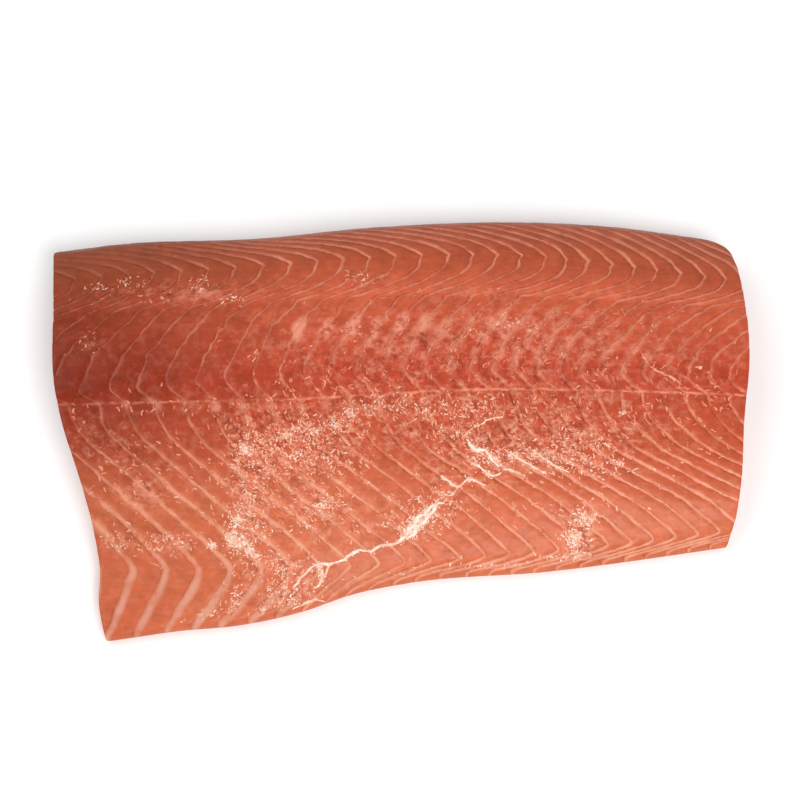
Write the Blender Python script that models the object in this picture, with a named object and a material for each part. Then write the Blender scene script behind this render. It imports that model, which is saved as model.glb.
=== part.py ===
"""A centre length of a boneless, skinned side of salmon, lying flesh side up.

+X runs towards the tail, +Y towards the back of the fish and +Z up, in metres.
The origin is under the middle of the bounding box, on the surface the fish lies on.
"""
from collections import namedtuple

import bmesh
import bpy
import numpy as np

# Plan outline at its widest, as points (x, y) along each long edge
BELLY_EDGE = ((-0.134, -0.1036), (-0.100, -0.0987), (-0.073, -0.0961), (-0.045, -0.0900),
              (-0.020, -0.0812), (0.005, -0.0760), (0.070, -0.0705), (0.155, -0.0587))
BACK_EDGE = ((-0.168, 0.0872), (-0.130, 0.0920), (-0.072, 0.0942), (-0.008, 0.1006),
             (0.050, 0.1035), (0.105, 0.1013), (0.155, 0.0945))

# Plan line of the knife at each end, as points (y, x) from belly to back
HEAD_CUT = ((-0.110, -0.1320), (-0.086, -0.1375), (-0.072, -0.1375), (-0.052, -0.1411),
            (-0.032, -0.1471), (-0.004, -0.1567), (0.010, -0.1601), (0.057, -0.1641),
            (0.100, -0.1687))
TAIL_CUT = ((-0.066, 0.1475), (-0.0605, 0.1535), (-0.053, 0.1567), (-0.035, 0.1603),
            (-0.003, 0.1631), (0.026, 0.1669), (0.060, 0.1667), (0.078, 0.1647),
            (0.088, 0.1607), (0.0942, 0.1535), (0.106, 0.1395))
KNIFE_POINTS = 28            # points along each knife line
KNIFE_REACH = 0.30           # how far each knife block reaches past its line
KNIFE_DEPTH = 0.10           # height of each knife block, above and below the board

# Cross-section at mid length, as points (y, height) of the flesh side between its two shoulders
FLESH_PROFILE = ((-0.0730, 0.0090), (-0.0670, 0.0118), (-0.0400, 0.0204), (-0.0180, 0.0260),
                 (0.0090, 0.0300), (0.0350, 0.0318), (0.0580, 0.0306), (0.0700, 0.0290),
                 (0.0800, 0.0270), (0.0890, 0.0250), (0.0960, 0.0230))
THICKNESS_ALONG = ((-0.170, 0.97), (-0.060, 1.00), (0.050, 0.98), (0.170, 0.87))
BELLY_RIM = 0.003            # how far the rounded belly rim stands out beyond its shoulder
BELLY_RIM_STEPS = 4
BACK_MID_HEIGHT = 0.0155     # height of the widest line of the back edge
BACK_UPPER_DEPTH = 0.020     # half width of the round above that line
BACK_UPPER_ANGLE = 40.0      # degrees of that round, up to the shoulder
BACK_UPPER_STEPS = 3
BACK_UNDERCUT = 0.015        # half width of the round below it, down to the board
BACK_LOWER_STEPS = 4
UNDERSIDE_ROWS = 4

# The white septa between the flakes zigzag from belly to back. Each guide line runs the length
# of the fish through one bend of the zigzag: y at four stations, x of five numbered septa on it,
# rows of faces up to the next line, and how gently a septum leaves it (above 1) or reaches the
# next one (below -1).
LENGTH_STATIONS = (-0.160, -0.055, 0.055, 0.160)
SEPTUM_STATIONS = (-4, 0, 10, 20, 30)
Guide = namedtuple("Guide", "name y_at septa_at rows bend")
GUIDES = (
    Guide("belly shoulder", None, (-0.1465, -0.0900, 0.0330, 0.1400, 0.2340), 3, -1.6),
    Guide("belly tips", (-0.0708, -0.0705, -0.0639, -0.0521),
          (-0.1380, -0.0765, 0.0530, 0.1610, 0.2550), 4, 1.15),
    Guide("middle of belly", (-0.0404, -0.0404, -0.0404, -0.0404),
          (-0.1664, -0.1120, 0.0240, 0.1470, 0.2660), 2, 1.0),
    Guide("below lateral line", (-0.0179, -0.0179, -0.0179, -0.0179),
          (-0.1914, -0.1390, -0.0080, 0.1040, 0.2130), 3, -2.0),
    Guide("lateral line", (0.0035, 0.0059, 0.0113, 0.0094),
          (-0.2058, -0.1530, -0.0210, 0.0850, 0.1860), 1, -1.4),
    Guide("head-side bend", (0.0081, 0.0176, 0.0207, 0.0168),
          (-0.2148, -0.1620, -0.0300, 0.0760, 0.1770), 5, 1.6),
    Guide("pin bone line", (0.0486, 0.0557, 0.0587, 0.0535),
          (-0.1846, -0.1350, -0.0110, 0.1060, 0.2140), 3, -2.2),
    Guide("back tips", (0.0682, 0.0764, 0.0815, 0.0694),
          (-0.1544, -0.1030, 0.0255, 0.1380, 0.2440), 3, 1.7),
    Guide("back shoulder", None, (-0.2045, -0.1520, -0.0210, 0.1030, 0.2170), 0, 1.0),
)
FIRST_SEPTUM = -6
LAST_SEPTUM = 31
SLAB_REACH = 0.28            # the uncut slab's ends, beyond both knives

# Relief of the flesh side: each flake swells between two sunken septa
SEPTUM_DEPTH = 0.0005
FLAKE_SWELL = 0.0003
FLAKE_COLUMNS = ((0.0, -SEPTUM_DEPTH), (0.24, FLAKE_SWELL), (0.76, FLAKE_SWELL))
# Low waves of the hand-cut surface: rise, turns in radians per metre along and across, and phase
SURFACE_WAVES = ((0.00035, 41.0, 23.0, 0.4), (0.00025, -67.0, 58.0, 1.9), (0.0002, 118.0, 96.0, 3.1))
PIN_BONE_GROOVE = 0.0008
LATERAL_GROOVE = 0.0004
GROOVE_HALF_WIDTH = 0.004

FLESH_COLOUR = (0.62, 0.13, 0.05, 1.0)
FLESH_ROUGHNESS = 0.38
FLESH_METALLIC = 0.0
SHARP_ANGLE = np.radians(50.0)


def smooth_curve(points, at):
    """Curve through hand-set (place, value) points: cubic between them, straight beyond the ends.

    The slope at each point is the mean slope of the two stretches that meet there.
    """
    place, value = np.array(points, dtype=float).T
    slope = np.gradient(value, place)
    at = np.asarray(at, dtype=float)
    left = np.clip(np.searchsorted(place, at) - 1, 0, len(place) - 2)
    span = place[left + 1] - place[left]
    t = np.clip((at - place[left]) / span, 0.0, 1.0)
    inside = ((1 + 2 * t) * (1 - t) ** 2 * value[left] + t * (1 - t) ** 2 * span * slope[left]
              + t * t * (3 - 2 * t) * value[left + 1] + t * t * (t - 1) * span * slope[left + 1])
    before = np.minimum(at - place[0], 0.0) * slope[0]
    after = np.maximum(at - place[-1], 0.0) * slope[-1]
    return inside + before + after


def guide_y(guide, x):
    """y of a guide line at each x; the two shoulders keep their distance from the edges."""
    if guide.name == "belly shoulder":
        return smooth_curve(BELLY_EDGE, x) + BELLY_RIM
    if guide.name == "back shoulder":
        inset = BACK_UPPER_DEPTH * (1 - np.cos(np.radians(BACK_UPPER_ANGLE)))
        return smooth_curve(BACK_EDGE, x) - inset
    return smooth_curve(tuple(zip(LENGTH_STATIONS, guide.y_at)), x)


def guide_x(guide, septum):
    """x at which each septum, by number, meets a guide line."""
    return smooth_curve(tuple(zip(SEPTUM_STATIONS, guide.septa_at)), septum)


def eased(part, bend):
    """A septum's way between two guide lines: part to the power bend, or its mirror if negative."""
    return part ** bend if bend > 0 else 1 - (1 - part) ** -bend


def flesh_rows(septum, relief):
    """Rows of points over the flesh side, one value per column in each, from belly to back."""
    rows = []
    for lower, upper in zip(GUIDES[:-1], GUIDES[1:]):
        for step in range(lower.rows):
            part = step / lower.rows
            way = eased(part, lower.bend)
            x = (1 - way) * guide_x(lower, septum) + way * guide_x(upper, septum)
            y = (1 - part) * guide_y(lower, x) + part * guide_y(upper, x)
            across = (1 - part) * guide_y(lower, 0.0) + part * guide_y(upper, 0.0)
            rows.append((x, y, flesh_height(x, y, across, relief)))
    last = GUIDES[-1]
    x = guide_x(last, septum)
    y = guide_y(last, x)
    rows.append((x, y, flesh_height(x, y, guide_y(last, 0.0), 0.0)))
    return rows


def flesh_height(x, y, across, relief):
    """Profile height scaled along the fish, less the two long grooves, plus low waves and relief."""
    height = smooth_curve(FLESH_PROFILE, across) * smooth_curve(THICKNESS_ALONG, x)
    for guide in GUIDES:
        if guide.name in ("pin bone line", "lateral line"):
            depth = PIN_BONE_GROOVE if guide.name == "pin bone line" else LATERAL_GROOVE
            height = height - depth * np.exp(-((y - guide_y(guide, x)) / GROOVE_HALF_WIDTH) ** 2)
    for rise, along, athwart, phase in SURFACE_WAVES:
        height = height + rise * np.sin(along * x + athwart * y + phase)
    return height + relief


def section_rows(septum, relief):
    """All rows round the cross-section: belly rim, flesh side, back edge and underside."""
    flesh = flesh_rows(septum, relief)
    x, shoulder_y, rim_height = flesh[0]
    rows = []
    for angle in np.linspace(-90.0, 90.0, BELLY_RIM_STEPS + 1)[:-1]:
        turn = np.radians(angle)
        rows.append((x, shoulder_y - BELLY_RIM * np.cos(turn), rim_height / 2 * (1 + np.sin(turn))))
    rows += flesh

    x, _, shoulder_height = flesh[-1]
    widest = smooth_curve(BACK_EDGE, x)
    middle = BACK_MID_HEIGHT * smooth_curve(THICKNESS_ALONG, x)
    rise = shoulder_height - middle
    top_sine = np.sin(np.radians(BACK_UPPER_ANGLE))
    for angle in np.linspace(BACK_UPPER_ANGLE, 0.0, BACK_UPPER_STEPS + 1)[1:]:
        turn = np.radians(angle)
        rows.append((x, widest - BACK_UPPER_DEPTH * (1 - np.cos(turn)),
                     middle + rise * np.sin(turn) / top_sine))
    for angle in np.linspace(0.0, 90.0, BACK_LOWER_STEPS + 1)[1:]:
        turn = np.radians(angle)
        rows.append((x, widest - BACK_UNDERCUT * (1 - np.cos(turn)), middle * (1 - np.sin(turn))))

    back_x, back_y, _ = rows[-1]
    belly_x, belly_y, _ = rows[0]
    floor = np.zeros_like(back_x)
    for part in np.linspace(0.0, 1.0, UNDERSIDE_ROWS + 2)[1:]:
        rows.append(((1 - part) * back_x + part * belly_x, (1 - part) * back_y + part * belly_y, floor))
    return np.array(rows)


def uncut_slab():
    """Grid of columns along the fish and rows round it, rolled into a closed tube with flat ends."""
    numbers = np.arange(FIRST_SEPTUM, LAST_SEPTUM)
    septum = np.concatenate([numbers + offset for offset, _ in FLAKE_COLUMNS])
    relief = np.concatenate([np.full(len(numbers), height) for _, height in FLAKE_COLUMNS])
    order = np.argsort(septum)
    septum, relief = septum[order], relief[order]
    rows = section_rows(septum, relief)
    head_end, tail_end = rows[:, :, :1].copy(), rows[:, :, -1:].copy()
    head_end[:, 0] = -SLAB_REACH
    tail_end[:, 0] = SLAB_REACH
    rows = np.concatenate([head_end, rows, tail_end], axis=2)

    bm = bmesh.new()
    bmesh.ops.create_grid(bm, x_segments=rows.shape[2] - 1, y_segments=rows.shape[0] - 1, size=1.0)
    for vert in bm.verts:
        column = round((vert.co.x + 1) / 2 * (rows.shape[2] - 1))
        row = round((vert.co.y + 1) / 2 * (rows.shape[0] - 1))
        vert.co = rows[row, :, column]
    bmesh.ops.remove_doubles(bm, verts=bm.verts, dist=1e-6)
    ends = [edge for edge in bm.edges if edge.is_boundary]
    bmesh.ops.holes_fill(bm, edges=ends, sides=0)
    bmesh.ops.recalc_face_normals(bm, faces=bm.faces)
    mesh = bpy.data.meshes.new("salmon_side")
    bm.to_mesh(mesh)
    bm.free()
    return mesh


def knife_block(name, cut, direction, collection):
    """Upright block whose near face follows the knife's plan line, reaching away from the fish."""
    y = np.linspace(cut[0][0], cut[-1][0], KNIFE_POINTS)
    x = smooth_curve(cut, y)
    far = direction * KNIFE_REACH
    outline = [(far, y[0]), *zip(x, y), (far, y[-1])]
    curve = bpy.data.curves.new(name, "CURVE")
    curve.dimensions = "2D"
    curve.fill_mode = "BOTH"
    curve.extrude = KNIFE_DEPTH / 2
    spline = curve.splines.new("POLY")
    spline.points.add(len(outline) - 1)
    for point, (px, py) in zip(spline.points, outline):
        point.co = (px, py, 0.0, 1.0)
    spline.use_cyclic_u = True
    drawn = bpy.data.objects.new(name + "_outline", curve)
    collection.objects.link(drawn)
    bpy.context.view_layer.update()
    evaluated = drawn.evaluated_get(bpy.context.evaluated_depsgraph_get())
    mesh = bpy.data.meshes.new_from_object(evaluated)
    bm = bmesh.new()
    bm.from_mesh(mesh)
    bmesh.ops.remove_doubles(bm, verts=bm.verts, dist=1e-6)
    bmesh.ops.recalc_face_normals(bm, faces=bm.faces)
    bm.to_mesh(mesh)
    bm.free()
    block = bpy.data.objects.new(name, mesh)
    block.matrix_world = drawn.matrix_world
    collection.objects.link(block)
    bpy.data.objects.remove(drawn)
    block.hide_render = True
    block.display_type = "WIRE"
    return block


def flesh_material():
    """Raw salmon flesh: orange-red, moist and without metal."""
    material = bpy.data.materials.new("salmon_flesh")
    material.use_nodes = True
    shader = material.node_tree.nodes["Principled BSDF"]
    shader.inputs["Base Color"].default_value = FLESH_COLOUR
    shader.inputs["Roughness"].default_value = FLESH_ROUGHNESS
    shader.inputs["Metallic"].default_value = FLESH_METALLIC
    material.diffuse_color = FLESH_COLOUR
    return material


def build():
    for old in list(bpy.data.objects):
        bpy.data.objects.remove(old)
    parts = bpy.data.collections.new("Side of salmon")
    cutters = bpy.data.collections.new("Knives")
    for collection in (parts, cutters):
        bpy.context.scene.collection.children.link(collection)

    side = bpy.data.objects.new("salmon_side", uncut_slab())
    side.data.materials.append(flesh_material())
    parts.objects.link(side)
    for name, cut, direction in (("head_knife", HEAD_CUT, -1), ("tail_knife", TAIL_CUT, 1)):
        knife = side.modifiers.new(name, "BOOLEAN")
        knife.operation = "DIFFERENCE"
        knife.solver = "EXACT"
        knife.object = knife_block(name, cut, direction, cutters)
    side.data.shade_smooth()
    side.data.set_sharp_from_angle(angle=SHARP_ANGLE)


build()
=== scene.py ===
"""Looks of a raw centre length of a side of salmon, lying flesh side up.

+X runs towards the tail, +Y towards the back, +Z up, in metres. The whole side is one closed
surface worked out from guide lines: the white septa zigzag from belly to back through them.
"""
from collections import namedtuple
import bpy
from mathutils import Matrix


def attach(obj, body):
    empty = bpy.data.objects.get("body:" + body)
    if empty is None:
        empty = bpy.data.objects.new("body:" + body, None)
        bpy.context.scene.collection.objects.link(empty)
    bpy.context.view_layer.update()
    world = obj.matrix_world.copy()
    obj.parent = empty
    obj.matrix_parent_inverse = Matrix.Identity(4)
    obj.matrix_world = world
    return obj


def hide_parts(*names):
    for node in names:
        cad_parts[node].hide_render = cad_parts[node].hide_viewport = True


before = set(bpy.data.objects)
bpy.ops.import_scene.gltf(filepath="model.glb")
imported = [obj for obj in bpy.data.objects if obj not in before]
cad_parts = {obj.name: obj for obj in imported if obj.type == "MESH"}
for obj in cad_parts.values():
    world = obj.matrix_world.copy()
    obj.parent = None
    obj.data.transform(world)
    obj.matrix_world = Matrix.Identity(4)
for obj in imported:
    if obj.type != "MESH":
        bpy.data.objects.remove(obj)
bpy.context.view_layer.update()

from types import SimpleNamespace

import bmesh
import bpy
import numpy as np

# Measures of the solid, as in its own source

BELLY_EDGE = ((-0.134, -0.1036), (-0.100, -0.0987), (-0.073, -0.0961), (-0.045, -0.0900),
              (-0.020, -0.0812), (0.005, -0.0760), (0.070, -0.0705), (0.155, -0.0587))
BACK_EDGE = ((-0.168, 0.0872), (-0.130, 0.0920), (-0.072, 0.0942), (-0.008, 0.1006),
             (0.050, 0.1035), (0.105, 0.1013), (0.155, 0.0945))
HEAD_CUT = ((-0.110, -0.1320), (-0.086, -0.1375), (-0.072, -0.1375), (-0.052, -0.1411),
            (-0.032, -0.1471), (-0.004, -0.1567), (0.010, -0.1601), (0.057, -0.1641),
            (0.100, -0.1687))
TAIL_CUT = ((-0.066, 0.1475), (-0.0605, 0.1535), (-0.053, 0.1567), (-0.035, 0.1603),
            (-0.003, 0.1631), (0.026, 0.1669), (0.060, 0.1667), (0.078, 0.1647),
            (0.088, 0.1607), (0.0942, 0.1535), (0.106, 0.1395))
FLESH_PROFILE = ((-0.0730, 0.0090), (-0.0670, 0.0118), (-0.0400, 0.0204), (-0.0180, 0.0260),
                 (0.0090, 0.0300), (0.0350, 0.0318), (0.0580, 0.0306), (0.0700, 0.0290),
                 (0.0800, 0.0270), (0.0890, 0.0250), (0.0960, 0.0230))
THICKNESS_ALONG = ((-0.170, 0.97), (-0.060, 1.00), (0.050, 0.98), (0.170, 0.87))
BELLY_RIM = 0.003
BACK_MID_HEIGHT = 0.0155
BACK_UPPER_DEPTH = 0.020
BACK_UPPER_ANGLE = np.radians(40.0)
BACK_UNDERCUT = 0.015
SURFACE_WAVES = ((0.00035, 41.0, 23.0, 0.4), (0.00025, -67.0, 58.0, 1.9), (0.0002, 118.0, 96.0, 3.1))
PIN_BONE_GROOVE = 0.0008
LATERAL_GROOVE = 0.0004
GROOVE_HALF_WIDTH = 0.004

# Guide lines along the fish, one through each bend of the zigzag of septa: y at four stations
# (None on a shoulder, which follows its edge), x of five numbered septa on the line, how gently a
# septum leaves it (above 1) or reaches the next one (below -1), and how far inside the flesh the
# septa sweep towards the tail at half depth.
LENGTH_STATIONS = (-0.160, -0.055, 0.055, 0.160)
SEPTUM_STATIONS = np.array((-4.0, 0.0, 10.0, 20.0, 30.0))
Guide = namedtuple("Guide", "y_at septa_at bend sweep")
(BELLY_SHOULDER, BELLY_TIPS, MID_BELLY, UNDER_LATERAL, LATERAL, HEAD_BEND, PIN_BONES, BACK_TIPS,
 BACK_SHOULDER) = range(9)
GUIDES = (
    Guide(None, (-0.1465, -0.0900, 0.0330, 0.1400, 0.2340), -1.6, 0.000),
    Guide((-0.0708, -0.0705, -0.0639, -0.0521), (-0.1380, -0.0765, 0.0530, 0.1610, 0.2550), 1.15, 0.014),
    Guide((-0.0404, -0.0404, -0.0404, -0.0404), (-0.1664, -0.1120, 0.0240, 0.1470, 0.2660), 1.0, 0.026),
    Guide((-0.0179, -0.0179, -0.0179, -0.0179), (-0.1914, -0.1390, -0.0080, 0.1040, 0.2130), -2.0, 0.010),
    Guide((0.0035, 0.0059, 0.0113, 0.0094), (-0.2058, -0.1530, -0.0210, 0.0850, 0.1860), -1.4, -0.016),
    Guide((0.0081, 0.0176, 0.0207, 0.0168), (-0.2148, -0.1620, -0.0300, 0.0760, 0.1770), 1.6, -0.012),
    Guide((0.0486, 0.0557, 0.0587, 0.0535), (-0.1846, -0.1350, -0.0110, 0.1060, 0.2140), -2.2, 0.034),
    Guide((0.0682, 0.0764, 0.0815, 0.0694), (-0.1544, -0.1030, 0.0255, 0.1380, 0.2440), 1.7, 0.030),
    Guide(None, (-0.2045, -0.1520, -0.0210, 0.1030, 0.2170), 1.0, 0.004),
)

# The bends are rounded, but near the back their tips are drawn out to points over a short reach.
# Past both shoulders the zigzag runs on over the rounded edge, for a part of its last stretch.
BEND_ROUNDING = 0.0006
TIP_POINT = 0.0030
TIP_REACH = 0.0022
PAST_SHOULDER = 0.35

# Septa waver: rise, how much more in the red loin, size of the waves and seed of the noise
SEPTUM_WAVER = ((0.0010, 0.0, 0.019, 11), (0.0004, 0.0007, 0.0065, 12), (0.0002, 0.0005, 0.0032, 13))

# The search for the septum number at a point starts from these limits and halves them
LOWEST_NUMBER = -30.0
HIGHEST_NUMBER = 60.0
HALVINGS = 24

# Rows of the surface round the section, and columns along the fish
COLUMNS = 330
RIM_ROWS = 9
FLESH_ROWS = 208
BACK_UPPER_ROWS = 8
BACK_LOWER_ROWS = 18
UNDERSIDE_ROWS = 26
CUT_ROWS = 14
FLESH_END = RIM_ROWS + FLESH_ROWS
OUTER_ROWS = FLESH_END + BACK_UPPER_ROWS + BACK_LOWER_ROWS
ALL_ROWS = OUTER_ROWS + UNDERSIDE_ROWS

# The search for the surface's points starts from a plain length and goes round this many times
GUESSED_HEAD = -0.15
GUESSED_LENGTH = 0.31
SURFACE_ROUNDS = 12

# Fine relief of the flesh side: flakes and the grooves between them, torn ground and fat
FLAKE_SWELL = 0.00028
FLAKE_STEP = 0.00030
SEPTUM_DEPTH = 0.00030
SEPTUM_GROOVE_WIDTH = 0.0009
TORN_RELIEF = 0.0009
TORN_RIDGE = 0.0005
RIDGE_WIDTH = 0.0011
FAT_RISE = 0.0003

# What is left of that relief on the rounded edges, and the rows over which it fades by the back
EDGE_RELIEF = 0.25
RIM_RELIEF = 0.1
FADE_ROWS = 12

# The knife leaves its edges a little lower, and the cut ends rippled by the flakes
KNIFE_EDGE_DROP = 0.0004
KNIFE_EDGE_WIDTH = 0.0012
CUT_FLAKE_SWELL = 0.0003
CUT_RIPPLE = 0.0002

# Half the width of a septum's pale line, and how much wider it is towards the head: on the belly
# flap, and more softly up the belly
LINE_HALF_WIDTH = 0.00080
FLAP_WIDENING = 0.0010
BELLY_WIDENING = 0.0005
WIDENING_STARTS = -0.030
WIDENING_FULL = -0.068
INNER_HALF_WIDTH = 0.0005        # inside the flesh, as the cut ends show it

# The band of dark muscle in the cut ends: half its width on the underside
DARK_HALF_WIDTH = 0.013

# Stretches across the fish, in numbers of guide lines: where each starts, is full, fades and ends
WAVERING_LOIN = (4.6, 5.2, 5.8, 6.1)
RED_LOIN = (3.8, 4.3, 5.6, 6.2)

# Noise is drawn on a square lattice: after how many cells it repeats, and by how many it is shifted
LATTICE_SIZE = 256
LATTICE_SHIFT = (97.3, 61.7)

# Layers of noise, each with its amount, the size of its waves and its seed
TORN_BREAKS = ((0.35, 0.007, 21), (0.25, 0.0025, 22))
LINE_VARIATION = ((0.40, 0.008, 51), (0.30, 0.003, 52))
CRAGS = ((0.5, 0.0046, 31), (0.5, 0.0025, 32), (0.35, 0.0014, 33))

# Places for small bits: how far they spread about an area's middle, in parts of its half sizes,
# how close to a septum they gather, in parts of the septa's spacing, and how far off the cuts
AREA_SPREAD = 0.62
SEPTUM_NEARNESS = 0.17
CUT_CLEARANCE = 0.002

# Small bits as tubes: rings and sides, how round their ends are, how unlike their rings' sizes are,
# and how deep they are sunk, in parts of half their height
BIT_RINGS = 5
BIT_SIDES = 6
BIT_ROUNDING = 0.85
BIT_KNOBS = (0.55, 1.35)
BIT_SINK = 0.8

# Strands as tubes: sides, how far apart their rings stand, how far they waver, their height over
# their width, how deep they are sunk in parts of half their width, and their knobs as amount, row
# of the noise and size
STRAND_SIDES = 8
STRAND_STEP = 0.0004
STRAND_WAVER = 0.00035
STRAND_FLATNESS = 0.55
STRAND_SINK = 0.40
STRAND_KNOBS = ((0.50, 0.9, 0.0021), (0.45, 0.2, 0.0008))

# Areas below are soft ellipses: x, y, half length, half width, strength

# Rough, torn ground
TORN_AREAS = (
    (0.04, 0.028, 0.1, 0.024, 0.78), (0.015, -0.004, 0.09, 0.014, 0.75),
    (0.075, -0.012, 0.048, 0.016, 0.8), (-0.069, -0.03, 0.009, 0.036, 0.95),
    (-0.044, -0.014, 0.03, 0.016, 0.95), (-0.045, -0.038, 0.024, 0.02, 0.5),
    (-0.05, -0.077, 0.018, 0.014, 0.6), (0.0, -0.05, 0.034, 0.01, 0.35),
    (0.033, -0.027, 0.024, 0.013, 0.6), (0.085, -0.055, 0.009, 0.014, 0.95),
    (-0.142, 0.033, 0.007, 0.005, 0.45), (-0.128, -0.058, 0.009, 0.006, 0.5),
    (-0.106, -0.059, 0.013, 0.006, 0.75), (-0.105, 0.061, 0.04, 0.006, 0.6),
    (-0.125, -0.02, 0.02, 0.012, 0.3), (-0.015, 0.067, 0.012, 0.006, 0.4),
    (0.06, 0.06, 0.05, 0.003, 0.45), (-0.119, -0.038, 0.013, 0.007, 0.6),
    (-0.14, -0.012, 0.014, 0.01, 0.3),
)

# Fat spreading from the septa
SPREAD_FAT = (
    (-0.0455, 0.04, 0.004, 0.0065, 1.0), (-0.033, 0.04, 0.004, 0.007, 1.0),
    (-0.021, 0.043, 0.004, 0.007, 1.0), (-0.0105, 0.041, 0.004, 0.007, 1.0),
    (0.0025, 0.044, 0.004, 0.006, 0.95), (0.014, 0.043, 0.004, 0.007, 0.9),
    (0.024, 0.039, 0.004, 0.007, 0.7), (0.038, 0.045, 0.004, 0.006, 0.6),
    (0.0495, 0.044, 0.006, 0.0065, 1.0), (0.062, 0.045, 0.0045, 0.006, 0.65),
    (0.075, 0.048, 0.005, 0.005, 0.6), (0.09, 0.048, 0.005, 0.0045, 0.55),
    (-0.047, 0.04, 0.004, 0.005, 0.6), (-0.008, 0.003, 0.04, 0.005, 0.4),
    (-0.09, 0.003, 0.05, 0.004, 0.45), (-0.04, -0.05, 0.05, 0.025, 0.3),
    (-0.1, -0.035, 0.045, 0.026, 0.2), (0.06, -0.024, 0.02, 0.005, 0.5),
    (-0.095, 0.06, 0.012, 0.004, 0.5), (0.035, 0.034, 0.08, 0.014, 0.4), (0.1, 0.028, 0.05, 0.015, 0.2),
    (-0.088, -0.087, 0.013, 0.012, 0.5), (-0.119, -0.038, 0.012, 0.008, 0.45),
    (-0.139, -0.054, 0.009, 0.014, 0.4),
)

# White fat that lies in clumps on the flesh
FAT_CLUMPS = (
    (-0.074, -0.0495, 0.003, 0.0022, 1.0), (-0.0762, -0.058, 0.0032, 0.0042, 0.95),
    (-0.071, -0.06, 0.0032, 0.0022, 0.95), (-0.0685, -0.063, 0.003, 0.002, 0.95),
    (-0.0645, -0.0655, 0.004, 0.0012, 0.8), (-0.071, -0.017, 0.0032, 0.0026, 0.85),
    (-0.052, -0.012, 0.004, 0.0022, 0.6), (-0.038, -0.009, 0.0045, 0.002, 0.6),
    (-0.029, -0.006, 0.0035, 0.0022, 0.7), (-0.0215, -0.001, 0.003, 0.002, 0.7),
    (-0.035, -0.043, 0.0035, 0.0022, 0.6), (-0.0615, -0.0905, 0.0012, 0.003, 0.9),
    (-0.035, -0.073, 0.0014, 0.0036, 0.8), (-0.036, -0.069, 0.0024, 0.0012, 0.8),
    (0.006, -0.0545, 0.0034, 0.0026, 1.0), (0.01, -0.0505, 0.0036, 0.0026, 0.95),
    (0.0145, -0.0465, 0.0032, 0.0022, 0.9), (0.034, -0.031, 0.0016, 0.0013, 0.95),
    (0.043, -0.029, 0.0018, 0.0013, 0.95), (0.0365, -0.0172, 0.0022, 0.0018, 1.0),
    (0.0415, -0.018, 0.0022, 0.0015, 0.9), (0.0455, -0.0225, 0.0024, 0.002, 0.85),
    (0.0545, -0.0203, 0.0024, 0.0013, 0.9), (0.065, -0.019, 0.0022, 0.0013, 0.75),
    (0.088, -0.0485, 0.0034, 0.003, 0.8), (0.0825, -0.0565, 0.0038, 0.0034, 0.85),
    (0.083, -0.064, 0.0036, 0.0026, 0.6), (0.106, 0.0003, 0.0018, 0.0011, 0.9),
    (0.1035, -0.0235, 0.0022, 0.0012, 0.8), (0.1432, 0.0222, 0.0012, 0.001, 0.9),
    (-0.0855, -0.0612, 0.0018, 0.0016, 0.8), (0.03, -0.0738, 0.026, 0.0015, 0.4),
    (0.052, -0.07, 0.012, 0.0012, 0.45), (0.074, -0.065, 0.008, 0.0012, 0.55),
    (-0.076, -0.0965, 0.016, 0.0015, 0.6), (-0.043, -0.0875, 0.008, 0.001, 0.65),
)

# How many cream flecks and pink shreds lie where
CREAM_FLECKS = (
    (-0.069, -0.018, 0.006, 0.008, 0.9), (-0.064, -0.027, 0.006, 0.007, 0.75),
    (-0.07, -0.04, 0.0055, 0.008, 0.85), (-0.066, -0.053, 0.007, 0.006, 0.8),
    (-0.074, -0.056, 0.006, 0.01, 0.95), (-0.055, -0.014, 0.012, 0.006, 0.85),
    (-0.036, -0.009, 0.014, 0.0055, 0.9), (-0.022, -0.002, 0.006, 0.005, 0.85),
    (-0.042, -0.022, 0.02, 0.008, 0.5), (-0.035, -0.043, 0.008, 0.005, 0.55),
    (-0.043, -0.051, 0.004, 0.004, 0.45), (-0.056, -0.07, 0.012, 0.007, 0.6),
    (-0.049, -0.079, 0.011, 0.0065, 0.9), (-0.074, -0.087, 0.004, 0.008, 0.45),
    (-0.055, -0.089, 0.0045, 0.0045, 0.8), (-0.086, -0.094, 0.008, 0.0035, 0.5),
    (-0.006, 0.003, 0.014, 0.0055, 0.55), (0.009, -0.05, 0.011, 0.006, 0.9),
    (0.022, -0.04, 0.009, 0.006, 0.65), (0.025, -0.01, 0.008, 0.0035, 0.85),
    (0.022, 0.001, 0.012, 0.005, 0.4), (0.04, 0.002, 0.011, 0.005, 0.55),
    (0.042, -0.02, 0.01, 0.005, 0.85), (0.07, -0.02, 0.02, 0.005, 0.6),
    (0.087, -0.015, 0.015, 0.007, 0.8), (0.09, -0.026, 0.012, 0.005, 0.45),
    (0.088, -0.048, 0.0055, 0.0055, 0.9), (0.082, -0.057, 0.006, 0.007, 0.95),
    (0.083, -0.065, 0.008, 0.004, 0.7), (0.05, -0.07, 0.03, 0.0028, 0.45),
    (-0.128, -0.059, 0.006, 0.004, 0.5), (-0.106, -0.059, 0.01, 0.0045, 0.85),
    (-0.094, 0.064, 0.005, 0.0045, 0.7), (-0.078, 0.056, 0.006, 0.0025, 0.8),
    (-0.127, 0.065, 0.006, 0.003, 0.55), (-0.143, 0.064, 0.007, 0.003, 0.45),
    (-0.143, 0.033, 0.005, 0.004, 0.5), (-0.018, 0.068, 0.007, 0.004, 0.4),
    (0.052, 0.044, 0.006, 0.005, 0.45), (0.035, 0.04, 0.004, 0.004, 0.4),
    (0.067, 0.04, 0.005, 0.004, 0.3), (-0.02, 0.04, 0.005, 0.004, 0.35),
)
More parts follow.
